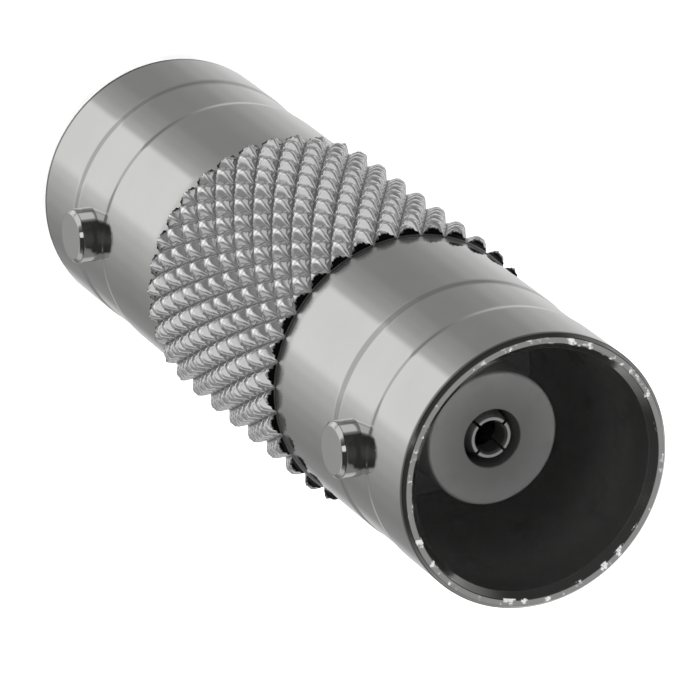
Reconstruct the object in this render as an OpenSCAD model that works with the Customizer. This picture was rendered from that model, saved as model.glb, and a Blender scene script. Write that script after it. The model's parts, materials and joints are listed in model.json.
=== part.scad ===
// Straight bayonet coupler: two jacks back to back on one knurled grip.
// The axis is Z. The origin is the middle of the rear rim, on which it stands.

/* [Overall] */
// Length from rim to rim
total_length = 31.2; // [29:0.1:38]
// Length of the knurled grip
knurl_length = 10.6; // [9:0.1:12.4]

/* [Barrels] */
// Outside diameter of both barrels
barrel_d = 9.65; // [9.3:0.05:10]
// Diameter of the deep bore
bore_d = 8.1; // [7.6:0.05:8.3]
// Diameter of the wider bore behind the rim
mouth_d = 8.5; // [8.35:0.05:8.7]
// Depth of the wider bore
mouth_depth = 2.2; // [1:0.1:3]
// Length of the cone between the wider bore and the deep bore
mouth_taper = 2.4; // [0.4:0.1:3]
// Diameter of the lead-in at the rim
lip_d = 9; // [8.75:0.05:9.1]
// Depth from the rim to the floor of the bore
bore_depth = 8.9; // [7.5:0.1:9.6]
// Chamfer on the rim's outer edge
rim_edge = 0.12; // [0.05:0.01:0.2]
// Thickness of the web behind each bore
web_t = 1.2; // [0.8:0.1:1.5]

/* [Bayonet studs] */
// Diameter of a stud
stud_d = 1.96; // [1.6:0.02:2.2]
// Size across two opposite studs
stud_span = 11; // [10.8:0.05:11.6]
// Distance from the rim to a stud's centre
stud_from_rim = 4.2; // [3.6:0.1:6]
// Diameter of the shank pressed into the barrel wall
stud_shank_d = 1.4; // [1:0.1:1.5]
// Depth of the blind hole for the shank, from the turned band
stud_hole_depth = 0.5; // [0.3:0.05:0.6]
// Chamfer on a stud's end
stud_edge = 0.14; // [0.05:0.01:0.25]
// Width of the turned band on each side of a stud
band_margin = 0.17; // [0.1:0.01:0.5]
// Depth of the turned band
band_depth = 0.05; // [0.02:0.01:0.1]
// Length of the slope at each side of the turned band
band_slope = 0.3; // [0.05:0.05:0.5]

/* [Knurl] */
// Diameter over the knurl's crests
knurl_d = 10.4; // [10.3:0.05:12]
// Diamonds round the grip
knurl_count = 34; // [24:1:48]
// Angle between the grooves and the axis
knurl_helix = 30; // [25:1:40]
// Share of each diamond's width left flat on top
knurl_flat = 0.24; // [0.1:0.02:0.5]
// Height of the groove bottoms above the barrels
knurl_root = 0.02; // [0.02:0.01:0.1]
// Depth of the chamfer on the teeth at both ends
knurl_edge = 0.2; // [0.05:0.05:0.3]
// Plain collar between the knurl and the joint of the two shells
joint_collar = 0.1; // [0.05:0.05:0.4]

/* [Insulators] */
// Diameter of the noses in the bores
nose_d = 4.72; // [4.2:0.02:5]
// Depth of the nose faces below the rims
nose_recess = 3.35; // [2.6:0.05:4.5]
// Diameter of the flanges held between the webs
flange_d = 6.2; // [5.6:0.1:6.4]
// Edge break round a nose face
nose_edge = 0.1; // [0:0.05:0.3]

/* [Contact] */
// Diameter of the contact's straight stem
contact_d = 1.9; // [1.7:0.05:2.2]
// Diameter of a socket's closed-in end
tip_d = 1.56; // [1.46:0.02:1.7]
// Diameter of the hole in a closed-in end
socket_grip_d = 1.1; // [0.9:0.05:1.2]
// Diameter of the socket's drilled hole
socket_d = 1.36; // [1.2:0.02:1.5]
// Depth of the socket's drilled hole
socket_depth = 5.2; // [3.5:0.1:6]
// Length over which the spring fingers close in
finger_taper = 1.2; // [0.8:0.1:2]
// Width of the slots between the fingers
slot_w = 0.18; // [0.1:0.02:0.25]
// Length of the slots
slot_length = 3.6; // [2:0.1:4.5]
// Depth of the contact's ends below the nose faces
contact_recess = 0.1; // [0:0.05:0.5]
// Diameter of the collar that holds the contact
collar_d = 3; // [2.4:0.1:3.6]
// Thickness of that collar
collar_t = 1.4; // [0.8:0.1:2]

/* [Fits] */
// Diameter of the front shell's pressed spigot
spigot_d = 7.4; // [7.2:0.1:8]
// Length of the spigot
spigot_length = 4.4; // [3:0.1:5]
// Radial gap of pressed pieces
press_gap = 0.01; // [0:0.005:0.02]
// Radial gap round the insulators
insulator_gap = 0.04; // [0.02:0.01:0.1]
// Radial gap round the contact
contact_gap = 0.08; // [0.03:0.01:0.12]
// Clearance left at the end of a blind seat
end_gap = 0.1; // [0.05:0.01:0.2]

/* [Hidden] */

$fn = 96;
middle = total_length / 2;
knurl_start = middle - knurl_length / 2;
knurl_end = middle + knurl_length / 2;
joint_z = knurl_end + joint_collar;
barrel_r = barrel_d / 2;
seat_r = barrel_r - band_depth;
band_w = stud_d + 2 * band_margin;
nose_hole_r = nose_d / 2 + insulator_gap;
flange_bore_r = flange_d / 2 + insulator_gap;
web_end = bore_depth + web_t;
contact_bore_r = contact_d / 2 + contact_gap;
shank_end_gap = 0.02;
overlap = 0.5;

// Places something made for the rear end at the front end too.
module at_front() {
    translate([0, 0, total_length]) mirror([0, 0, 1]) children();
}

// Outside of one barrel from its rim up to the given height, with the rim's
// chamfer and the shallow band round the studs.
module barrel_outside(height) {
    rotate_extrude() polygon([
        [0, 0],
        [barrel_r - rim_edge, 0],
        [barrel_r, rim_edge],
        [barrel_r, stud_from_rim - band_w / 2 - band_slope],
        [seat_r, stud_from_rim - band_w / 2],
        [seat_r, stud_from_rim + band_w / 2],
        [barrel_r, stud_from_rim + band_w / 2 + band_slope],
        [barrel_r, height],
        [0, height]
    ]);
}

// Bore of one jack: lead-in, wider mouth, cone and deep bore down to the floor.
module jack_bore() {
    lead = (lip_d - mouth_d) / 2;
    rotate_extrude() polygon([
        [0, -overlap],
        [lip_d / 2, -overlap],
        [lip_d / 2, 0],
        [mouth_d / 2, lead],
        [mouth_d / 2, mouth_depth],
        [bore_d / 2, mouth_depth + mouth_taper],
        [bore_d / 2, bore_depth],
        [0, bore_depth]
    ]);
}

// Blind holes for the two shanks of one barrel.
module stud_holes() {
    for (side = [-1, 1])
        translate([0, 0, stud_from_rim]) rotate([0, 90 * side, 0])
            translate([0, 0, seat_r - stud_hole_depth])
                cylinder(d = stud_shank_d + 2 * press_gap, h = stud_hole_depth + overlap, $fn = 32);
}

// Diamond knurl: two families of straight-sided grooves cross on a cylinder and
// leave flat-topped pyramids, chamfered where the knurl ends. Grid point (i, j) is
// a pyramid's middle where i + j is even, and a crossing of two grooves where it is odd.
module knurl_ring() {
    crest_r = knurl_d / 2;
    end_r = crest_r - knurl_edge;
    root_r = barrel_r + knurl_root;
    inner_r = barrel_r - overlap;
    half_pitch = PI * crest_r / knurl_count;
    columns = 2 * knurl_count;
    rows = max(2, round(knurl_length * tan(knurl_helix) / half_pitch));
    row_h = knurl_length / rows;
    step_angle = 360 / columns;

    function grid(r, i, j) = [
        r * cos(i * step_angle), r * sin(i * step_angle), knurl_start + j * row_h
    ];
    function wrap(i) = (i + columns) % columns;
    function top_r(j) = j == 0 || j == rows ? end_r : crest_r;

    // Five points are kept for each grid point: itself and the four of its flat top.
    points = [
        for (j = [0:rows]) for (i = [0:columns - 1]) each
            (i + j) % 2 == 0
            ? [
                grid(top_r(j), i, j),
                grid(top_r(j), i - knurl_flat, j),
                grid(top_r(j), i + knurl_flat, j),
                grid(j == 0 ? end_r : crest_r, i, max(0, j - knurl_flat)),
                grid(j == rows ? end_r : crest_r, i, min(rows, j + knurl_flat))
            ]
            : [for (k = [0:4]) grid(root_r, i, j)],
        for (j = [0, rows]) for (i = [0:columns - 1]) grid(inner_r, i, j)
    ];
    function at(i, j, k = 0) = 5 * (j * columns + wrap(i)) + k;
    function inner(i, top) = 5 * columns * (rows + 1) + (top ? columns : 0) + wrap(i);

    // Flat top, then the sloping sides, of the pyramid at (i, j).
    function upper(i, j) = [
        [at(i, j, 1), at(i, j, 2), at(i, j, 4)],
        [at(i - 1, j), at(i, j, 1), at(i, j, 4)],
        [at(i - 1, j), at(i, j, 4), at(i, j + 1)],
        [at(i + 1, j), at(i, j, 4), at(i, j, 2)],
        [at(i + 1, j), at(i, j + 1), at(i, j, 4)]
    ];
    function lower(i, j) = [
        [at(i, j, 1), at(i, j, 3), at(i, j, 2)],
        [at(i - 1, j), at(i, j, 3), at(i, j, 1)],
        [at(i - 1, j), at(i, j - 1), at(i, j, 3)],
        [at(i + 1, j), at(i, j, 2), at(i, j, 3)],
        [at(i + 1, j), at(i, j, 3), at(i, j - 1)]
    ];
    function end_face(i, j) = [
        at(i - 1, j), at(i, j, 1), at(i, j, 2), at(i + 1, j),
        inner(i + 1, j > 0), inner(i, j > 0), inner(i - 1, j > 0)
    ];
    function turned(list) = [for (k = [len(list) - 1:-1:0]) list[k]];

    faces = [
        for (j = [0:rows]) for (i = [0:columns - 1]) if ((i + j) % 2 == 0) each concat(
            j < rows ? upper(i, j) : [turned(end_face(i, j))],
            j > 0 ? lower(i, j) : [end_face(i, j)]
        ),
        for (i = [0:columns - 1])
            [inner(i, false), inner(i + 1, false), inner(i + 1, true), inner(i, true)]
    ];
    polyhedron(points, [for (face = faces) turned(face)], convexity = 10);
}

// Rear jack and knurled grip in one piece, open at the front for the spigot.
module knurled_body() {
    color("silver") difference() {
        union() {
            barrel_outside(joint_z);
            knurl_ring();
        }
        jack_bore();
        stud_holes();
        cylinder(r = nose_hole_r, h = middle);
        translate([0, 0, web_end]) cylinder(r = flange_bore_r, h = total_length);
        translate([0, 0, joint_z - spigot_length - end_gap])
            cylinder(d = spigot_d + 2 * press_gap, h = total_length);
    }
}

// Front jack with the spigot that is pressed into the knurled body.
module front_jack_shell() {
    color("silver") difference() {
        union() {
            at_front() barrel_outside(total_length - joint_z);
            translate([0, 0, joint_z - spigot_length])
                cylinder(d = spigot_d, h = spigot_length + overlap);
        }
        at_front() {
            jack_bore();
            stud_holes();
            cylinder(r = nose_hole_r, h = middle);
            translate([0, 0, web_end]) cylinder(r = flange_bore_r, h = total_length);
        }
    }
}

// Stepped insulator: the nose stands in the bore and the flange behind the web.
module insulator() {
    color("whitesmoke") rotate_extrude() polygon([
        [contact_bore_r, nose_recess],
        [nose_d / 2 - nose_edge, nose_recess],
        [nose_d / 2, nose_recess + nose_edge],
        [nose_d / 2, web_end],
        [flange_d / 2, web_end],
        [flange_d / 2, middle],
        [collar_d / 2 + contact_gap, middle],
        [collar_d / 2 + contact_gap, middle - collar_t / 2],
        [contact_bore_r, middle - collar_t / 2]
    ]);
}

module rear_insulator() {
    insulator();
}

module front_insulator() {
    at_front() insulator();
}

// Half of the contact, from its socket's end to the middle of the collar.
module contact_half() {
    tip_z = nose_recess + contact_recess;
    wall = (contact_d - socket_d) / 2;
    flare = (tip_d - socket_grip_d) / 4;
    grip_end = tip_z + finger_taper * 0.6;
    difference() {
        rotate_extrude() polygon([
            [0, tip_z],
            [tip_d / 2 - flare, tip_z],
            [tip_d / 2, tip_z + flare],
            [contact_d / 2, tip_z + finger_taper],
            [contact_d / 2, middle - collar_t / 2],
            [collar_d / 2, middle - collar_t / 2],
            [collar_d / 2, middle],
            [0, middle]
        ]);
        rotate_extrude() polygon([
            [0, tip_z - overlap],
            [socket_grip_d / 2 + flare, tip_z - overlap],
            [socket_grip_d / 2 + flare, tip_z],
            [socket_grip_d / 2, tip_z + flare],
            [socket_grip_d / 2, grip_end],
            [socket_d / 2, tip_z + finger_taper + wall],
            [socket_d / 2, tip_z + socket_depth],
            [0, tip_z + socket_depth + socket_d / 4]
        ]);
        for (turn = [0, 90])
            rotate([0, 0, turn + 45])
                translate([-contact_d, -slot_w / 2, tip_z - overlap])
                    cube([2 * contact_d, slot_w, slot_length + overlap]);
    }
}

module centre_contact() {
    color("gainsboro") {
        contact_half();
        at_front() contact_half();
    }
}

// Bayonet stud of the rear barrel on the +X side. Its head seats on the
// barrel's turned band and its shank ends just above the floor of its hole.
module stud() {
    head_r = stud_d / 2;
    tip = stud_span / 2;
    shank_start = seat_r - stud_hole_depth + shank_end_gap;
    color("silver") translate([0, 0, stud_from_rim]) {
        difference() {
            rotate([0, 90, 0]) {
                cylinder(r = head_r, h = tip - stud_edge, $fn = 48);
                translate([0, 0, tip - stud_edge])
                    cylinder(r1 = head_r, r2 = head_r - stud_edge, h = stud_edge, $fn = 48);
            }
            cylinder(r = seat_r, h = 2 * stud_d, center = true);
        }
        rotate([0, 90, 0]) translate([0, 0, shank_start])
            cylinder(d = stud_shank_d, h = tip - stud_edge - shank_start, $fn = 32);
    }
}

module rear_stud_right() {
    stud();
}

module rear_stud_left() {
    mirror([1, 0, 0]) stud();
}

module front_stud_right() {
    at_front() stud();
}

module front_stud_left() {
    at_front() mirror([1, 0, 0]) stud();
}

knurled_body();
front_jack_shell();
rear_insulator();
front_insulator();
centre_contact();
rear_stud_left();
rear_stud_right();
front_stud_left();
front_stud_right();
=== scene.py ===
import json
import math

import bmesh
import bpy
from mathutils import Matrix, Vector


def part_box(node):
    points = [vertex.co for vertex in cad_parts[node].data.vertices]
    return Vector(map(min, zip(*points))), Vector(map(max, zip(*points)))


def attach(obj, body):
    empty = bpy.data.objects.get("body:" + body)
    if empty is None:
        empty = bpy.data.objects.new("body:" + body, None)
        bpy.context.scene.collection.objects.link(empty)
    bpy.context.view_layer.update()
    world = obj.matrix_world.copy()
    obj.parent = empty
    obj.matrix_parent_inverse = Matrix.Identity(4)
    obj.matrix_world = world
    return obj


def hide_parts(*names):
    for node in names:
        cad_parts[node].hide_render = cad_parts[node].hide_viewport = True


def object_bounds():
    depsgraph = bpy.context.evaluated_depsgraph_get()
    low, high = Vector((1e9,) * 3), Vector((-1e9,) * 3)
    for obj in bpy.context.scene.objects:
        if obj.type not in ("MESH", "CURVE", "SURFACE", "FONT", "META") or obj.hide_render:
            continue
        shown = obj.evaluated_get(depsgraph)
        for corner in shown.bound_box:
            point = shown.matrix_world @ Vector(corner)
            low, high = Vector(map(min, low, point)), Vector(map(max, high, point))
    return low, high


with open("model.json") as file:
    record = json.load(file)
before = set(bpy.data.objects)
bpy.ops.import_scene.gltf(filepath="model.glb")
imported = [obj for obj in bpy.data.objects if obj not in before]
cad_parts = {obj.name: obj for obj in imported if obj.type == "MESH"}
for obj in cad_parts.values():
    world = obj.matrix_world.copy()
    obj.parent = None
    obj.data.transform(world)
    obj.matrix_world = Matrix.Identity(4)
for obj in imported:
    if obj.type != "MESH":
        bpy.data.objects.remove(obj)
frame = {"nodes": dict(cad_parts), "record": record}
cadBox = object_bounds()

mm = 0.001
scene = bpy.context.scene
scene.view_settings.view_transform = "Standard"
finishes = {item["slot"]: item["base_color"] for item in frame["record"]["materials"]}
mounts = {mount["name"]: mount for mount in frame["record"]["mounts"]}

# Sizes that several pieces share, in mm
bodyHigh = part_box("knurled_body")[1] / mm
shellLow, shellHigh = (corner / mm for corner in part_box("front_jack_shell"))
insulatorLow, insulatorHigh = (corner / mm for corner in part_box("rear_insulator"))
contactLow, contactHigh = (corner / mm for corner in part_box("centre_contact"))
middle = cadBox[1].z / mm / 2
barrelRadius = shellHigh.x
gripHalf = 5.3
flangeLength = 5.5
print("frame: %d solids, %.1f mm long" % (len(frame["nodes"]), 2 * middle))


# One wire of a node tree. Arithmetic on wires adds Math nodes.
class Wire:
    def __init__(self, graph, socket):
        self.graph = graph
        self.socket = socket

    def math(self, operation, *values):
        return self.graph.add("ShaderNodeMath", {"operation": operation}, dict(enumerate(values)))

    def __add__(self, other):
        return self.math("ADD", self, other)

    def __radd__(self, other):
        return self.math("ADD", other, self)

    def __sub__(self, other):
        return self.math("SUBTRACT", self, other)

    def __rsub__(self, other):
        return self.math("SUBTRACT", other, self)

    def __mul__(self, other):
        return self.math("MULTIPLY", self, other)

    def __rmul__(self, other):
        return self.math("MULTIPLY", other, self)

    def __truediv__(self, other):
        return self.math("DIVIDE", self, other)

    def __pow__(self, other):
        return self.math("POWER", self, other)

    def __mod__(self, other):
        return self.math("FLOORED_MODULO", self, other)

    def __abs__(self):
        return self.math("ABSOLUTE", self)

    def floor(self):
        return self.math("FLOOR", self)

    def least(self, other):
        return self.math("MINIMUM", self, other)

    def most(self, other):
        return self.math("MAXIMUM", self, other)

    def cosine(self):
        return self.math("COSINE", self)

    def sine(self):
        return self.math("SINE", self)

    # 0 below start, 1 above end, smooth between; start may be the larger
    def between(self, start, end):
        settings = {"interpolation_type": "SMOOTHSTEP"}
        return self.graph.add("ShaderNodeMapRange", settings, {0: self, 1: start, 2: end})

    # the same node's other output
    def output(self, name):
        return Wire(self.graph, self.socket.node.outputs[name])


class Graph:
    def __init__(self, tree):
        self.tree = tree
        tree.nodes.clear()

    # Adds a node: settings first, then each input by name or number, as a value or a wire.
    def add(self, kind, settings=None, inputs=None, output=0):
        node = self.tree.nodes.new(kind)
        place = len(self.tree.nodes) - 1
        node.location = (220 * (place % 16), -300 * (place // 16))
        for key, value in (settings or {}).items():
            if key == "stops":
                self.fillRamp(node.color_ramp, value)
            elif key == "curve":
                self.fillCurve(node.mapping, value)
            else:
                setattr(node, key, value)
        for key, value in (inputs or {}).items():
            if isinstance(value, Wire):
                self.tree.links.new(value.socket, node.inputs[key])
            else:
                node.inputs[key].default_value = value
        return Wire(self, node.outputs[output]) if node.outputs else node

    def fillRamp(self, ramp, stops):
        ramp.interpolation = "EASE"
        while len(ramp.elements) > 1:
            ramp.elements.remove(ramp.elements[-1])
        ramp.elements[0].position = stops[0][0]
        for position, level in stops[1:]:
            ramp.elements.new(position)
        for element, (position, level) in zip(ramp.elements, stops):
            element.color = (level, level, level, 1)

    def fillCurve(self, mapping, points):
        curve = mapping.curves[0]
        while len(curve.points) < len(points):
            curve.points.new(0.5, 0.5)
        for point, place in zip(curve.points, points):
            point.location = place
            point.handle_type = "VECTOR"
        mapping.update()

    def xyz(self, vector):
        first = self.add("ShaderNodeSeparateXYZ", inputs={0: vector})
        return first, first.output("Y"), first.output("Z")

    def vector(self, x, y, z):
        return self.add("ShaderNodeCombineXYZ", inputs={0: x, 1: y, 2: z})

    def mixed(self, factor, first, second):
        inputs = {0: factor, 6: first, 7: second}
        return self.add("ShaderNodeMix", {"data_type": "RGBA"}, inputs, output=2)

    def noise(self, vector, scale, detail=3.0, roughness=0.5):
        inputs = {"Vector": vector, "Scale": scale, "Detail": detail, "Roughness": roughness}
        return self.add("ShaderNodeTexNoise", None, inputs)

    # noise that changes along one number only
    def streaks(self, along, scale, detail=3.0):
        inputs = {"W": along, "Scale": scale, "Detail": detail}
        return self.add("ShaderNodeTexNoise", {"noise_dimensions": "1D"}, inputs)


def shade(value):
    return (value, value, value, 1) if isinstance(value, float) else (*value, 1)


# The view's angle round the object, its height and its roll, in degrees, and
# how far the middle of the view lies right of and below the object's, in mm.
cameraView = {
    "azimuth": 49.0,
    "elevation": 58.43,
    "roll": 128.19,
    "distance": 250.0,
    "right": 0.3,
    "below": 1.02,
    "lens": 370.1,
}


def makeCamera(view):
    azimuth, elevation, roll = (
        math.radians(view[key]) for key in ("azimuth", "elevation", "roll")
    )
    back = Vector((
        math.sin(azimuth) * math.cos(elevation),
        -math.cos(azimuth) * math.cos(elevation),
        math.sin(elevation),
    ))
    level = (-back).cross(Vector((0, 0, 1))).normalized()
    upright = level.cross(-back)
    right = level * math.cos(roll) + upright * math.sin(roll)
    up = right.cross(-back)
    centre = (cadBox[0] + cadBox[1]) / 2
    place = centre + (right * view["right"] - up * view["below"] + back * view["distance"]) * mm
    data = bpy.data.cameras.new("camera")
    data.lens = view["lens"]
    data.sensor_width = 36
    data.clip_start = 0.02
    data.clip_end = 20
    camera = bpy.data.objects.new("camera", data)
    turned = Matrix((right, up, back)).transposed().to_4x4()
    camera.matrix_world = Matrix.Translation(place) @ turned
    scene.collection.objects.link(camera)
    scene.camera = camera


makeCamera(cameraView)
print("camera placed")


def newMaterial(name):
    material = bpy.data.materials.new(name)
    material.use_nodes = True
    return material, Graph(material.node_tree)


def surface(graph, values, bump=None):
    shader = graph.add("ShaderNodeBsdfPrincipled", None, values)
    if bump:
        graph.tree.links.new(bump.socket, shader.socket.node.inputs["Normal"])
    graph.add("ShaderNodeOutputMaterial", None, {0: shader})


# Object coordinates, the height and the distance from the axis
def placeOf(graph):
    position = graph.add("ShaderNodeTexCoord", output="Object")
    x, y, z = graph.xyz(position)
    radius = (x * x + y * y) ** 0.5
    return position, z, radius


# Widths and insets are in mm. Insets are measured in from the barrel's surface.
nickel = {
    "colour": finishes["nickel_plate"],
    "roughness": 0.085,
    "cloud": 0.03,        # how much the gloss varies over the surface
    "turning": 0.03,      # the same for the lathe's marks
    "markDepth": 0.01,
    "cloudScale": 320,
    "turningScale": 5200,
    "pitScale": 7000,
    "edgeShade": 0.16,    # painted shade: the dark line a rounded rim edge mirrors, painted just below the rim
    "edgeWidth": 0.25,
    "edgeInset": 0.035,
    "lipShade": 0.72,     # bare metal where plugs rub the lip
    "lipWear": 0.36,      # share of the lip that is rubbed
    "lipInset": 0.105,
    "chipScale": 2400,
    "collarGloss": 0.26,  # extra roughness of the satin strip beside the grip
    "collarWidth": 0.3,
}


def makeNickel(name, look):
    material, graph = newMaterial(name)
    position, z, radius = placeOf(graph)
    length = cadBox[1].z
    cloud = graph.noise(position, look["cloudScale"], 4, 0.6)
    turned = graph.streaks(z, look["turningScale"], 4)
    pits = graph.noise(position, look["pitScale"], 2)
    fromRim = z.least(length - z)
    inset = barrelRadius * mm - radius
    width = look["edgeWidth"] * mm
    outside = inset.between(look["edgeInset"] * mm, (look["edgeInset"] - 0.025) * mm)
    # painted shade below each rim, standing in for the dark that the rounded edge mirrors
    edge = fromRim.between(width * 1.2, width * 0.7) * outside
    chips = graph.noise(position, look["chipScale"], 4, 0.6)
    patches = chips.between(0.66 - look["lipWear"] * 0.3, 0.64)
    flat = inset.between(look["lipInset"] * mm, (look["lipInset"] + 0.06) * mm)
    lip = fromRim.between(0.06 * mm, 0.03 * mm) * flat * patches
    fromGrip = abs(z - length / 2) - gripHalf * mm
    collar = fromGrip.between(look["collarWidth"] * 2.5 * mm, look["collarWidth"] * mm)
    rough = (
        look["roughness"] + (cloud - 0.5) * look["cloud"] + (turned - 0.5) * look["turning"]
        + edge * 0.1 + lip * 0.25 + collar * look["collarGloss"]
    )
    tint = graph.mixed(cloud.between(0.3, 0.75), shade(look["colour"]),
                       shade([value * 0.95 for value in look["colour"]]))
    # the painted shade line below the rims goes into the colour here
    tint = graph.mixed(edge, tint, shade(look["edgeShade"]))
    tint = graph.mixed(lip, tint, shade(look["lipShade"]))
    height = turned * 0.7 + pits * 0.3
    bump = graph.add("ShaderNodeBump", None, {
        "Strength": look["markDepth"], "Distance": 0.02 * mm, "Height": height})
    surface(graph, {"Base Color": tint, "Metallic": 1 - lip * 0.5, "Roughness": rough}, bump)
    return material


knurlNickel = {
    # crest: tops rubbed bright by handling, and painted brighter still as highlight dots
    "crest": 0.99,
    "flank": 0.68,
    "groove": 0.5,
    "crestRoughness": 0.11,
    "grooveRoughness": 0.4,
    "grooveFill": 0.22,   # share of the depth that looks dull
    "endShade": 0.04,     # painted shade on the teeth's end faces, which mirror the dark ceiling
    "endWidth": 0.16,
    "dirtScale": 1600,
    "grainScale": 5200,
}


def makeKnurlNickel(name, look, sizes):
    material, graph = newMaterial(name)
    root, crest = sizes["Root Radius"], sizes["Crest Radius"]
    position, z, radius = placeOf(graph)
    depth = (radius - root) / (crest - root)
    dirt = graph.noise(position, look["dirtScale"], 4, 0.65)
    groove = depth.between(look["grooveFill"], 0.02) * (0.75 + dirt * 0.5).least(1.0)
    # tooth tops: worn bright, and painted brighter as highlight dots
    top = depth.between(0.8, 0.92)
    tint = graph.mixed(top, shade(look["flank"]), shade(look["crest"]))
    tint = graph.mixed(groove, tint, shade(look["groove"]))
    # painted shade: the end faces of the teeth are darkened nearly black
    fromEnd = (z - sizes["Start Height"]).least(sizes["End Height"] - z)
    width = look["endWidth"] * mm
    paintedEnds = fromEnd.between(width, width * 0.5) * depth.between(0.08, 0.2)
    tint = graph.mixed(paintedEnds, tint, shade(look["endShade"]))
    rough = look["crestRoughness"] + groove * (look["grooveRoughness"] - look["crestRoughness"])
    rough = rough + (dirt - 0.5) * 0.12
    grain = graph.noise(position, look["grainScale"], 3)
    bump = graph.add("ShaderNodeBump", None, {
        "Strength": 0.08, "Distance": 0.02 * mm, "Height": grain})
    surface(graph, {"Base Color": tint, "Metallic": 1.0, "Roughness": rough}, bump)
    return material


boreNickel = {
    # the bore's colour gets lighter deeper in: painted light for the dim inside
    "mouth": 0.42,
    "deep": 0.85,
    "stain": 0.2,
    "roughness": 0.55,
    "turningScale": 3600,
    "ringScale": 4200,
    "cloudScale": 500,
}


def makeBoreNickel(name, look):
    material, graph = newMaterial(name)
    position, z, radius = placeOf(graph)
    length = cadBox[1].z
    depth = z.least(length - z)
    turned = graph.streaks(z, look["turningScale"], 4)
    rings = graph.streaks(radius, look["ringScale"], 3)
    cloud = graph.noise(position, look["cloudScale"], 4, 0.6)
    # painted light: lighter colour deeper in the bore, where less light reaches
    tint = graph.mixed(depth.between(0.2 * mm, 3.5 * mm), shade(look["mouth"]), shade(look["deep"]))
    tint = graph.mixed(cloud.between(0.5, 0.8) * 0.3, tint, shade(look["stain"]))
    rough = look["roughness"] + (turned - 0.5) * 0.1 + (cloud - 0.5) * 0.1
    bump = graph.add("ShaderNodeBump", None, {
        "Strength": 0.05, "Distance": 0.03 * mm, "Height": turned + rings})
    surface(graph, {"Base Color": tint, "Metallic": 1.0, "Roughness": rough}, bump)
    return material


insulatorPlastic = {
    "colour": finishes["insulator"],
    "shadow": [0.52, 0.52, 0.51],
    # painted shade on the wall of the contact bore
    "bore": [0.6, 0.6, 0.6],
    "boreRadius": 1.04,
    "roughness": 0.42,
    "ringScale": 6500,
    "cloudScale": 900,
    "handledScale": 260,
}


def makeInsulatorPlastic(name, look):
    material, graph = newMaterial(name)
    position, _, radius = placeOf(graph)
    rings = graph.streaks(radius, look["ringScale"], 3)
    cloud = graph.noise(position, look["cloudScale"], 4, 0.6)
    handled = graph.noise(position, look["handledScale"], 2)
    tint = graph.mixed(cloud.between(0.45, 0.8) * 0.4, shade(look["colour"]), shade(look["shadow"]))
    # painted shade: the contact bore's wall is darker
    bore = radius.between((look["boreRadius"] + 0.05) * mm, look["boreRadius"] * mm)
    tint = graph.mixed(bore, tint, shade(look["bore"]))
    rough = look["roughness"] + (handled - 0.5) * 0.12 + (rings - 0.5) * 0.08
    bump = graph.add("ShaderNodeBump", None, {
        "Strength": 0.12, "Distance": 0.02 * mm, "Height": rings * 0.8 + cloud * 0.2})
    values = {"Base Color": tint, "Roughness": rough, "Subsurface Weight": 0.12}
    values.update({"Subsurface Radius": (1, 1, 1), "Subsurface Scale": 0.25 * mm, "IOR": 1.38})
    surface(graph, values, bump)
    return material


contactPlate = {
    "colour": finishes["contact_plate"],
    "tarnish": [0.42, 0.41, 0.39],
    "drilled": 0.03,      # painted shade inside the drilled hole
    "drilledRadius": 0.53,
    "roughness": 0.3,
    "turningScale": 7800,
    "cloudScale": 1400,
}


def makeContactPlate(name, look):
    material, graph = newMaterial(name)
    position, z, radius = placeOf(graph)
    turned = graph.streaks(z, look["turningScale"], 3)
    cloud = graph.noise(position, look["cloudScale"], 4, 0.6)
    tint = graph.mixed(
        cloud.between(0.5, 0.85) * 0.5, shade(look["colour"]), shade(look["tarnish"]))
    inner = look["drilledRadius"]
    # painted shade: the inside of the drilled hole is darkened nearly black
    hole = radius.between((inner + 0.04) * mm, inner * mm)
    tint = graph.mixed(hole, tint, shade(look["drilled"]))
    rough = look["roughness"] + (cloud - 0.5) * 0.12 + (turned - 0.5) * 0.08
    bump = graph.add("ShaderNodeBump", None, {
        "Strength": 0.06, "Distance": 0.02 * mm, "Height": turned})
    drilled = radius.between((inner + 0.07) * mm, (inner + 0.02) * mm)
    surface(graph, {"Base Color": tint, "Metallic": 1 - drilled * 0.9, "Roughness": rough}, bump)
    return material


# Rounds the corners of a closed outline of (radius, height), in mm. A third
# number in a point is its own rounding; 0 leaves it as it is.
def softened(outline, size):
    points = []
    for number, corner in enumerate(outline):
        here = Vector(corner[:2])
        reach = corner[2] if len(corner) > 2 else size
        back = Vector(outline[number - 1][:2]) - here
        ahead = Vector(outline[(number + 1) % len(outline)][:2]) - here
        reach = min(reach, back.length * 0.3, ahead.length * 0.3)
        if reach == 0:
            points.append(here)
            continue
        start = here + back.normalized() * reach
        end = here + ahead.normalized() * reach
        points.append(here + back.normalized() * reach * 1.6)
        for step in (0, 0.25, 0.5, 0.75, 1):
            points.append(start * (1 - step) ** 2 + here * 2 * step * (1 - step) + end * step ** 2)
        points.append(here + ahead.normalized() * reach * 1.6)
    return points


def mirrored(outline, length):
    return [(point[0], length - point[1], *point[2:]) for point in outline]


# Spins a closed outline about the axis. Returns the new faces.
def lathe(mesh, outline, columns):
    turns = [2 * math.pi * column / columns for column in range(columns)]
    rings = [
        [mesh.verts.new((r * math.cos(t) * mm, r * math.sin(t) * mm, z * mm)) for t in turns]
        for r, z in outline
    ]
    faces = []
    for lower, upper in zip(rings, rings[1:] + rings[:1]):
        for column in range(columns):
            beside = (column + 1) % columns
            faces.append(mesh.faces.new(
                (lower[column], lower[beside], upper[beside], upper[column])))
    return faces


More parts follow.
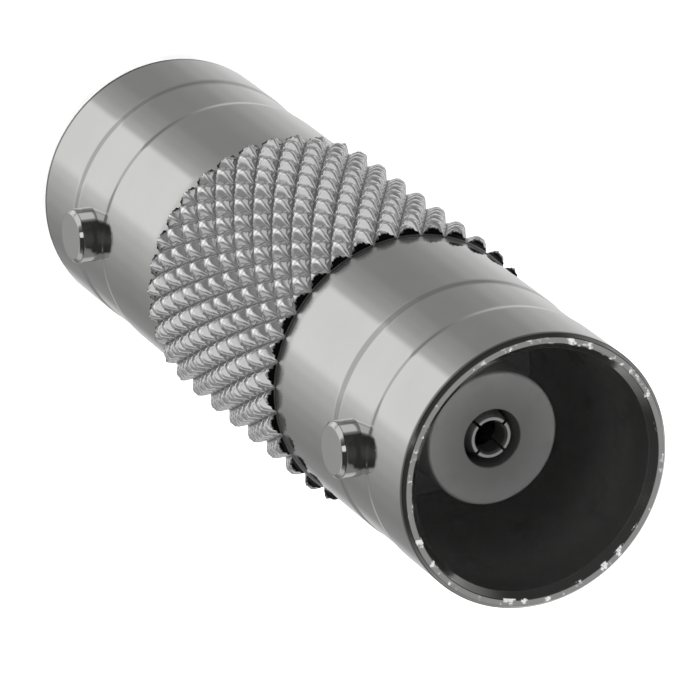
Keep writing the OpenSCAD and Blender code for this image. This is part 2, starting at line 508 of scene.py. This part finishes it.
# Turns a finished mesh into a piece that stands for a CAD node.
def makePiece(name, mesh, materials, node, sharp=50):
    bmesh.ops.remove_doubles(mesh, verts=mesh.verts, dist=1e-7)
    bmesh.ops.recalc_face_normals(mesh, faces=mesh.faces)
    data = bpy.data.meshes.new(name)
    mesh.to_mesh(data)
    mesh.free()
    for material in materials:
        data.materials.append(material)
    data.shade_smooth()
    data.set_sharp_from_angle(angle=math.radians(sharp))
    piece = bpy.data.objects.new(name, data)
    scene.collection.objects.link(piece)
    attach(piece, "root")
    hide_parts(node)
    print("piece %s: %d faces" % (name, len(data.polygons)))


knurl = {
    "Diamonds Around": 34,
    "Half Rows": 13,
    "Tile Cuts": 11,                          # points along one side of a diamond
    "Crest Radius": bodyHigh.y * mm,
    "Root Radius": (barrelRadius + 0.02) * mm,
    "Inner Radius": (barrelRadius - 0.04) * mm,
    "Start Height": (middle - gripHalf) * mm,
    "End Height": (middle + gripHalf) * mm,
    "Flat Top": 0.37,                         # share of a diamond's width
    "Crest Rounding": 0.06,
    "End Chamfer": 0.2 * mm,
    "Wear": 0.05,                             # how unevenly the tops have worn
    "Seed": 7.0,
}


def makeKnurlTree():
    tree = bpy.data.node_groups.new("diamondKnurl", "GeometryNodeTree")
    tree.is_modifier = True
    for name, value in knurl.items():
        kind = "NodeSocketInt" if isinstance(value, int) else "NodeSocketFloat"
        tree.interface.new_socket(name=name, in_out="INPUT", socket_type=kind)
    tree.interface.new_socket(name="Material", in_out="INPUT", socket_type="NodeSocketMaterial")
    tree.interface.new_socket(name="Geometry", in_out="OUTPUT", socket_type="NodeSocketGeometry")
    graph = Graph(tree)
    given = graph.add("NodeGroupInput")

    # One diamond. Its sides lie along two grooves, so the tile is a square
    # grid whose lines are closest together at the grooves and round the top.
    cuts = given.output("Tile Cuts")
    tile = graph.add("GeometryNodeMeshGrid", None, {0: 1.0, 1: 1.0, 2: cuts, 3: cuts})
    x, y, z = graph.xyz(graph.add("GeometryNodeInputPosition"))
    spacing = [(0, 0), (0.1, 0.04), (0.2, 0.13), (0.3, 0.25), (0.4, 0.37),
               (0.5, 0.5), (0.6, 0.63), (0.7, 0.75), (0.8, 0.87), (0.9, 0.96), (1, 1)]
    a = graph.add("ShaderNodeFloatCurve", {"curve": spacing}, {"Value": x + 0.5})
    b = graph.add("ShaderNodeFloatCurve", {"curve": spacing}, {"Value": y + 0.5})
    side = abs(a * 2 - 1).most(abs(b * 2 - 1))
    flank = (1 - side) / (1 - given.output("Flat Top"))
    rise = flank.math("SMOOTH_MIN", flank, 1.0, given.output("Crest Rounding"))
    diamond = graph.add("GeometryNodeSetPosition", None, {
        "Geometry": tile, "Position": graph.vector(a - b, a + b - 1, rise)})

    # One point for each diamond, in half pitches round and half rows along
    rows = given.output("Half Rows")
    around = given.output("Diamonds Around")
    index = graph.add("GeometryNodeInputIndex")
    row = index % (rows + 1)
    column = (index / (rows + 1)).floor()
    lattice = graph.add("GeometryNodePoints", None, {
        "Count": around * (rows + 1), "Position": graph.vector(column * 2 + row % 2, row, 0.0)})
    diamonds = graph.add("GeometryNodeInstanceOnPoints", None, {
        "Points": lattice, "Instance": diamond})
    flat = graph.add("GeometryNodeRealizeInstances", None, {0: diamonds})

    # Bent round the axis. Rows that pass an end are pressed flat against it.
    x, y, z = graph.xyz(graph.add("GeometryNodeInputPosition"))
    start = given.output("Start Height")
    end = given.output("End Height")
    root = given.output("Root Radius")
    angle = x * math.pi / around
    height = start + y.most(0.0).least(rows) / rows * (end - start)
    worn = graph.noise(graph.vector(angle.cosine() * 5, angle.sine() * 5, y * 0.7
                                    + given.output("Seed")), 1.3, 3)
    depth = given.output("Crest Radius") - root
    fromEnd = y.least(rows - y) / rows * (end - start)
    limit = depth - given.output("End Chamfer") + fromEnd.most(0.0) + fromEnd.least(0.0) * 0.02
    rise = (z * depth * (1 - worn * given.output("Wear"))).least(limit)
    radius = root + rise
    bent = graph.add("GeometryNodeSetPosition", None, {
        "Geometry": flat,
        "Position": graph.vector(radius * angle.cosine(), radius * angle.sine(), height)})
    sleeve = graph.add("GeometryNodeMergeByDistance", None, {
        "Geometry": bent, "Distance": 0.002 * mm})

    # Both open ends are drawn in and joined by an inner wall
    edges = graph.add("GeometryNodeInputMeshEdgeNeighbors")
    openEdge = graph.add("FunctionNodeCompare", {"data_type": "INT", "operation": "EQUAL"},
                         {2: edges, 3: 1})
    ends = graph.add("GeometryNodeExtrudeMesh", {"mode": "EDGES"}, {
        "Mesh": sleeve, "Selection": openEdge, "Offset Scale": 0.0})
    x, y, z = graph.xyz(graph.add("GeometryNodeInputPosition"))
    shrink = given.output("Inner Radius") / root
    drawn = graph.add("GeometryNodeSetPosition", None, {
        "Geometry": ends, "Selection": ends.output("Top"),
        "Position": graph.vector(x * shrink, y * shrink, z)})
    rear = graph.add("FunctionNodeCompare", {"data_type": "FLOAT", "operation": "LESS_THAN"},
                     {0: z, 1: (start + end) / 2})
    chosen = graph.add("FunctionNodeBooleanMath", {"operation": "AND"},
                       {0: ends.output("Top"), 1: rear})
    wall = graph.add("GeometryNodeExtrudeMesh", {"mode": "EDGES"}, {
        "Mesh": drawn, "Selection": chosen, "Offset Scale": 0.0})
    closed = graph.add("GeometryNodeSetPosition", None, {
        "Geometry": wall, "Selection": wall.output("Top"),
        "Position": graph.vector(x, y, end)})
    ring = graph.add("GeometryNodeMergeByDistance", None, {
        "Geometry": closed, "Distance": 0.003 * mm})
    real = graph.add("GeometryNodeRealizeInstances", None, {0: ring})
    done = graph.add("GeometryNodeSetMaterial", None, {
        "Geometry": real, "Material": given.output("Material")})
    graph.add("NodeGroupOutput", None, {0: done})
    return tree


# Runs a node tree on an empty mesh and returns the plain mesh it makes.
def grow(tree, values):
    host = bpy.data.objects.new(tree.name, bpy.data.meshes.new(tree.name))
    scene.collection.objects.link(host)
    modifier = host.modifiers.new("nodes", "NODES")
    modifier.node_group = tree
    for item in tree.interface.items_tree:
        if item.in_out == "INPUT":
            modifier[item.identifier] = values[item.name]
    ready = host.evaluated_get(bpy.context.evaluated_depsgraph_get())
    data = bpy.data.meshes.new_from_object(ready)
    host.modifiers.remove(modifier)
    bpy.data.objects.remove(host)
    return data


# Heights from the rim and radii, in mm
shell = {
    "lipRadius": 4.5,
    "rimEdge": 0.12,
    "mouthRadius": mounts["rear_mouth"]["dims"]["r_mm"],
    "mouthDepth": 2.2,
    "mouthTaper": 2.4,
    "boreRadius": 4.05,
    "boreDepth": 8.9,
    "webEnd": insulatorHigh.z - flangeLength,
    "noseHole": 2.4,
    "flangeBore": insulatorHigh.x + 0.04,
    "bandStart": 3.05,
    "bandEnd": 5.35,
    "bandDepth": 0.05,
    "bandSlope": 0.3,
    "seamEdge": 0.008,    # edge break where the two shells meet
    "spigotBore": 3.71,
    "spigotRadius": 3.7,
    "spigotGap": 0.1,     # behind the spigot's end
    "softness": 0.02,
    "columns": 192,
}


def bandAndRim(s):
    band = barrelRadius - s["bandDepth"]
    return [
        (s["lipRadius"], 0),
        (barrelRadius - s["rimEdge"], 0),
        (barrelRadius, s["rimEdge"]),
        (barrelRadius, s["bandStart"] - s["bandSlope"], 0.1),
        (band, s["bandStart"], 0.1),
        (band, s["bandEnd"], 0.1),
        (barrelRadius, s["bandEnd"] + s["bandSlope"], 0.1),
    ]


def boreAndWeb(s):
    return [
        (s["flangeBore"], s["webEnd"]),
        (s["noseHole"], s["webEnd"]),
        (s["noseHole"], s["boreDepth"]),
        (s["boreRadius"], s["boreDepth"], 0.08),
        (s["boreRadius"], s["mouthDepth"] + s["mouthTaper"], 0.6),
        (s["mouthRadius"], s["mouthDepth"], 0.6),
        (s["mouthRadius"], s["lipRadius"] - s["mouthRadius"]),
    ]


# The bore's own finish, with its painted light, starts just inside the lip
def paintBore(faces, s):
    for face in faces:
        middlePoint = face.calc_center_median() / mm
        inside = Vector((middlePoint.x, middlePoint.y)).length < s["mouthRadius"] + 0.03
        face.material_index = 1 if inside else 0


plated = makeNickel("polishedNickel", nickel)
boreWithPaintedLight = makeBoreNickel("boreNickel", boreNickel)
gripped = makeKnurlNickel("knurlNickel", knurlNickel, knurl)
print("metal finishes made")


def makeKnurledBody(s):
    spigotEnd = shellLow.z - s["spigotGap"]
    joint = bodyHigh.z
    outline = bandAndRim(s) + [
        (barrelRadius, joint - s["seamEdge"]),
        (barrelRadius - s["seamEdge"], joint),
        (s["spigotBore"], joint),
        (s["spigotBore"], spigotEnd),
        (s["flangeBore"], spigotEnd),
    ] + boreAndWeb(s)
    mesh = bmesh.new()
    paintBore(lathe(mesh, softened(outline, s["softness"]), s["columns"]), s)
    ring = grow(makeKnurlTree(), {**knurl, "Material": gripped})
    ringStart = len(mesh.faces)
    mesh.from_mesh(ring)
    mesh.faces.ensure_lookup_table()
    for face in mesh.faces[ringStart:]:
        face.material_index = 2
    makePiece("knurledBody", mesh, [plated, boreWithPaintedLight, gripped], "knurled_body")


def makeFrontJackShell(s):
    length = cadBox[1].z / mm
    joint = length - bodyHigh.z
    outline = bandAndRim(s) + [
        (barrelRadius, joint - s["seamEdge"]),
        (barrelRadius - s["seamEdge"], joint),
        (s["spigotRadius"], joint),
        (s["spigotRadius"], length - shellLow.z),
        (s["flangeBore"], length - shellLow.z),
    ] + boreAndWeb(s)
    mesh = bmesh.new()
    outline = mirrored(softened(outline, s["softness"]), length)
    paintBore(lathe(mesh, outline, s["columns"]), s)
    makePiece("frontJackShell", mesh, [plated, boreWithPaintedLight], "front_jack_shell")


makeKnurledBody(shell)
makeFrontJackShell(shell)


stud = {
    "headStart": 4,       # inside the barrel, and cut off again
    "footSink": 0.006,    # how far the foot goes into the band
    "edge": 0.14,
    "softness": 0.03,
    "columns": 72,
}


# A round head along X whose foot follows the barrel's band
def makeStud(name, node, s):
    low, high = (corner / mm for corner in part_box(node))
    side = 1 if high.x > 0 else -1
    radius = (high.z - low.z) / 2
    height = (high.z + low.z) / 2
    tip = max(high.x, -low.x)
    band = barrelRadius - shell["bandDepth"]
    head = softened([(0, s["headStart"], 0), (radius, s["headStart"], 0),
                     (radius, tip - s["edge"]), (radius - s["edge"], tip), (0, tip, 0)],
                    s["softness"])[2:]
    mesh = bmesh.new()
    rings = []
    turns = [2 * math.pi * column / s["columns"] for column in range(s["columns"])]
    for reach, lift in ((0, 0), (0.5, 0), (0.8, 0), (1, 0), (1, 0.03)):
        points = [(radius * reach * math.cos(t), radius * reach * math.sin(t)) for t in turns]
        outs = [math.sqrt(band ** 2 - y ** 2) - s["footSink"] + lift for y, z in points]
        rings.append([
            mesh.verts.new((side * out * mm, y * mm, (height + z) * mm))
            for out, (y, z) in zip(outs, points)])
    for reach, out in head:
        rings.append([
            mesh.verts.new((side * out * mm, reach * math.cos(t) * mm,
                            (height + reach * math.sin(t)) * mm)) for t in turns])
    for lower, upper in zip(rings, rings[1:]):
        for column in range(s["columns"]):
            beside = (column + 1) % s["columns"]
            mesh.faces.new((lower[column], lower[beside], upper[beside], upper[column]))
    makePiece(name, mesh, [plated], node)


makeStud("rearStudRight", "rear_stud_right", stud)
makeStud("rearStudLeft", "rear_stud_left", stud)
makeStud("frontStudRight", "front_stud_right", stud)
makeStud("frontStudLeft", "front_stud_left", stud)


insulator = {
    "noseRadius": 2.36,
    "contactBore": 1.03,
    "collarBore": 1.58,
    "collarSeat": 0.7,
    "softness": 0.035,
    "columns": 96,
}


def makeInsulator(name, node, s, front):
    outline = [
        (s["contactBore"], insulatorLow.z),
        (s["noseRadius"], insulatorLow.z, 0.1),
        (s["noseRadius"], shell["webEnd"]),
        (insulatorHigh.x, shell["webEnd"]),
        (insulatorHigh.x, middle),
        (s["collarBore"], middle),
        (s["collarBore"], middle - s["collarSeat"]),
        (s["contactBore"], middle - s["collarSeat"]),
    ]
    outline = softened(outline, s["softness"])
    if front:
        outline = mirrored(outline, 2 * middle)
    mesh = bmesh.new()
    lathe(mesh, outline, s["columns"])
    makePiece(name, mesh, [plastic], node)


plastic = makeInsulatorPlastic("insulatorPlastic", insulatorPlastic)
makeInsulator("rearInsulator", "rear_insulator", insulator, False)
makeInsulator("frontInsulator", "front_insulator", insulator, True)


contact = {
    "stemRadius": 0.95,
    "tipRadius": 0.78,
    "gripRadius": mounts["rear_contact_socket"]["dims"]["r_mm"],
    "drillRadius": 0.68,
    "drillDepth": 5.2,
    "fingerTaper": 1.2,
    "neck": 0.27,         # slope between the grip and the drilled hole
    "slotLength": 3.6,
    "slotWidth": 0.1,
    "flare": 0.115,
    "lead": 0.045,        # corner taken off both edges of the open end
    "softness": 0.03,
    "columnsPerFinger": 14,
}


def makeCentreContact(s):
    tip = contactLow.z
    collar = contactHigh.x
    seat = middle - insulator["collarSeat"]
    slotEnd = tip + s["slotLength"]
    half = [
        (0, tip + s["drillDepth"] + s["drillRadius"] / 2, 0),
        (s["drillRadius"], tip + s["drillDepth"]),
        (s["drillRadius"], slotEnd, 0),
        (s["drillRadius"], tip + s["fingerTaper"] + s["neck"]),
        (s["gripRadius"], tip + s["fingerTaper"] * 0.6),
        (s["gripRadius"], tip + s["flare"]),
        (s["gripRadius"] + s["lead"], tip, 0.03),
        (s["tipRadius"] - s["lead"], tip, 0.03),
        (s["tipRadius"], tip + s["flare"]),
        (s["stemRadius"], tip + s["fingerTaper"]),
        (s["stemRadius"], slotEnd, 0),
        (s["stemRadius"], seat),
        (collar, seat),
    ]
    outline = softened(half + mirrored(half, 2 * middle)[::-1], s["softness"])
    marks = [
        number for number, point in enumerate(outline)
        if min(abs(point[1] - slotEnd), abs(2 * middle - point[1] - slotEnd)) < 1e-4
    ]
    mesh = bmesh.new()
    perFinger = s["columnsPerFinger"]
    rings = []
    for r, z in outline:
        margin = math.asin(min(1, s["slotWidth"] / 2 / max(r, s["slotWidth"])))
        ring = []
        for finger in range(4):
            first = math.pi / 4 + math.pi / 2 * finger + margin
            span = math.pi / 2 - 2 * margin
            for column in range(perFinger):
                t = first + span * column / (perFinger - 1)
                ring.append(mesh.verts.new((r * math.cos(t) * mm, r * math.sin(t) * mm, z * mm)))
        rings.append(ring)
    columns = 4 * perFinger
    for number in range(len(outline) - 1):
        slotted = marks[0] <= number < marks[1] or marks[2] <= number < marks[3]
        lower, upper = rings[number], rings[number + 1]
        for column in range(columns):
            beside = (column + 1) % columns
            if slotted and beside % perFinger == 0:
                continue
            mesh.faces.new((lower[column], lower[beside], upper[beside], upper[column]))
    for first, last in (marks[:2], marks[2:]):
        for finger in range(4):
            left = finger * perFinger
            right = (left - 1) % columns
            for column in (left, right):
                mesh.faces.new([ring[column] for ring in rings[first:last + 1]])
            mesh.faces.new((rings[first][right], rings[first][left],
                            rings[last][left], rings[last][right]))
    makePiece("centreContact", mesh, [contactMetal], "centre_contact", 35)


contactMetal = makeContactPlate("contactPlate", contactPlate)
makeCentreContact(contact)


studio = {
    "floorSize": 3.0,
    "floorShade": 0.93,
    "backdrop": 0.98,     # what the camera sees past the floor
    "sideSuns": 8,        # broad low lights all round
    "sideLight": 2.3,
    "sideHeight": 18,     # degrees above the floor
    "sideSpread": 28,
    "sideTurn": 20,
    "topLight": 0.22,
    "topHeight": 66,
    "topSpread": 60,
    "topTurn": 190,
    "gapShade": 0.1,      # dark gaps above and below the low panels
    "gapStrength": 0.4,
}


def makeFloor(s):
    mesh = bmesh.new()
    bmesh.ops.create_grid(mesh, x_segments=8, y_segments=8, size=s["floorSize"])
    data = bpy.data.meshes.new("floor")
    mesh.to_mesh(data)
    mesh.free()
    floor = bpy.data.objects.new("floor", data)
    scene.collection.objects.link(floor)
    floor.visible_glossy = False
    material, graph = newMaterial("paleFloor")
    position = graph.add("ShaderNodeTexCoord", output="Object")
    grain = graph.noise(position, 40, 2)
    tint = graph.mixed(grain, shade(s["floorShade"]), shade(s["floorShade"] * 0.985))
    surface(graph, {"Base Color": tint, "Roughness": 0.9, "Specular IOR Level": 0.1})
    data.materials.append(material)


def makeSun(name, azimuth, elevation, spread, strength):
    data = bpy.data.lights.new(name, "SUN")
    data.energy = strength
    data.angle = math.radians(spread)
    light = bpy.data.objects.new(name, data)
    light.rotation_euler = (math.radians(90 - elevation), 0, math.radians(azimuth))
    light.visible_glossy = False
    scene.collection.objects.link(light)


# What the metal mirrors, as (degrees from the camera's side, brightness). Low panels
# stand far below the horizon, and side panels between them and the ceiling.
lowPanels = [
    (-180, 0.72), (-150, 0.7), (-126, 0.56), (-108, 0.45), (-92, 0.34), (-70, 0.3), (-50, 0.305),
    (-40, 0.37), (-32, 0.42), (-20, 0.56), (-14, 0.92), (40, 0.92), (50, 0.7), (60, 0.58),
    (76, 0.46), (88, 0.37), (100, 0.31), (118, 0.27), (140, 0.3), (165, 0.6), (180, 0.72),
]
sidePanels = [
    (-180, 0.7), (-160, 0.66), (-148, 0.3), (-120, 0.26), (-108, 0.6), (-70, 0.68), (-58, 0.3),
    (-34, 0.24), (-20, 0.8), (22, 0.84), (34, 0.34), (58, 0.3), (72, 0.62), (104, 0.58),
    (116, 0.28), (144, 0.32), (158, 0.66), (180, 0.7),
]
# brightness by the height above the horizon, as the sine of the angle
ceiling = [(0, 0.4), (0.12, 0.2), (0.3, 0.04), (0.7, 0.05), (1, 0.1)]
# where each one starts and is whole, also as the sine of the height
heights = {
    "bottomGap": (-0.93, -0.965),
    "upperGap": (-0.76, -0.72),
    "upperGapEnd": (-0.55, -0.6),
    "sidePanels": (-0.6, -0.5),
    "ceiling": (-0.05, 0.1),
}
# (turn from the camera's side, height, radius, brightness) of small lamps
lamps = [(165, 30, 35, 0.27), (180, 58, 13, 0.38), (32, 21, 8, 1.0)]


def makeWorld(s):
    world = bpy.data.worlds.new("studio")
    scene.world = world
    world.use_nodes = True
    graph = Graph(world.node_tree)
    direction = graph.add("ShaderNodeTexCoord", output="Generated")
    x, y, z = graph.xyz(direction)
    facing = cameraView["azimuth"] / 360 - 0.25
    turn = (x.math("ARCTAN2", y, x) / (2 * math.pi) - facing + 0.5) % 1.0
    low = graph.add("ShaderNodeValToRGB", {"stops": [(a / 360 + 0.5, v) for a, v in lowPanels]},
                    {0: turn})
    side = graph.add("ShaderNodeValToRGB", {"stops": [(a / 360 + 0.5, v) for a, v in sidePanels]},
                     {0: turn})
    high = graph.add("ShaderNodeValToRGB", {"stops": ceiling}, {0: z})
    # the low panels end in dark gaps above and below
    upperGap = z.between(*heights["upperGap"]) * z.between(*heights["upperGapEnd"])
    gap = z.between(*heights["bottomGap"]).most(upperGap)
    low = graph.mixed(gap * s["gapStrength"], low, shade(s["gapShade"]))
    mirror = graph.mixed(z.between(*heights["sidePanels"]), low, side)
    mirror = graph.mixed(z.between(*heights["ceiling"]), mirror, high)
    for turned, height, radius, brightness in lamps:
        around = math.radians(cameraView["azimuth"] - 90 + turned)
        up = math.radians(height)
        towards = (math.cos(around) * math.cos(up), math.sin(around) * math.cos(up), math.sin(up))
        near = graph.add("ShaderNodeVectorMath", {"operation": "DOT_PRODUCT"},
                         {0: direction, 1: towards}, output="Value")
        inner, outer = (math.cos(math.radians(radius * reach)) for reach in (0.8, 1.15))
        mirror = graph.mixed(near.between(outer, inner), mirror, shade(brightness))
    seen = graph.add("ShaderNodeLightPath", output="Is Camera Ray")
    colour = graph.mixed(seen, mirror, shade(s["backdrop"]))
    background = graph.add("ShaderNodeBackground", None, {"Color": colour, "Strength": 1.0})
    graph.add("ShaderNodeOutputWorld", None, {0: background})


makeFloor(studio)
for number in range(studio["sideSuns"]):
    makeSun("side%d" % number, 360 / studio["sideSuns"] * number + studio["sideTurn"],
            studio["sideHeight"], studio["sideSpread"], studio["sideLight"])
makeSun("top", studio["topTurn"], studio["topHeight"], studio["topSpread"], studio["topLight"])
makeWorld(studio)
print("studio lit")
